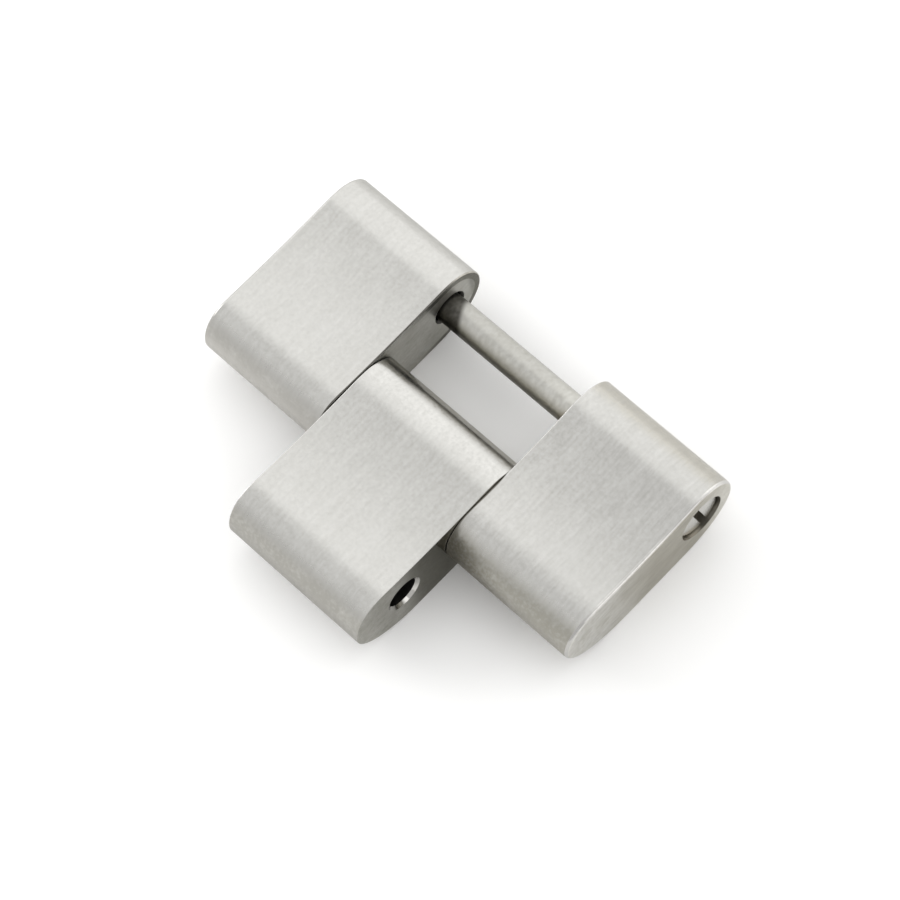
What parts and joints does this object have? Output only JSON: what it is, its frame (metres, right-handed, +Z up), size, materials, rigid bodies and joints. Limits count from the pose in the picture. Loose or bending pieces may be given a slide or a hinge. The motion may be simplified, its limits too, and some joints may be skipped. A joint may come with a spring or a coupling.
{
  "type": "watch bracelet link",
  "caption": "Three-row brushed steel bracelet link: outer links held by a slotted screw pin and a fixed pin, with a centre link set half a step along.",
  "frame": {"origin": "middle of the unit's outline at the level of the underside that it rests on", "axes": "+X along the pins towards the screw's head, +Y towards the screwed ends of the outer links, +Z up out of the face that shows on the wrist"},
  "size_m": [0.018, 0.013, 0.0034],
  "materials": {
    "brushed_link_steel": "satin brushed along the bracelet, with finer side faces",
    "turned_pin_steel": "fine turned, nearly polished"
  },
  "bodies": {
    "outer_links": {"outer_link_left": "brushed_link_steel", "outer_link_right": "brushed_link_steel", "fixed_pin": "turned_pin_steel"},
    "centre": {"centre_link": "brushed_link_steel"},
    "screw": {"screw_pin": "turned_pin_steel"}
  },
  "joints": [
    {"name": "centre_hinge", "type": "hinge", "parent": "outer_links", "child": "centre", "pos_m": [0, 0.0004, 0.00185], "axis": [-1, 0, 0], "range_deg": [-145, 149]},
    {"name": "screw_slide", "type": "slide", "parent": "outer_links", "child": "screw", "axis": [1, 0, 0], "range_m": [0, 0.0155]}
  ]
}
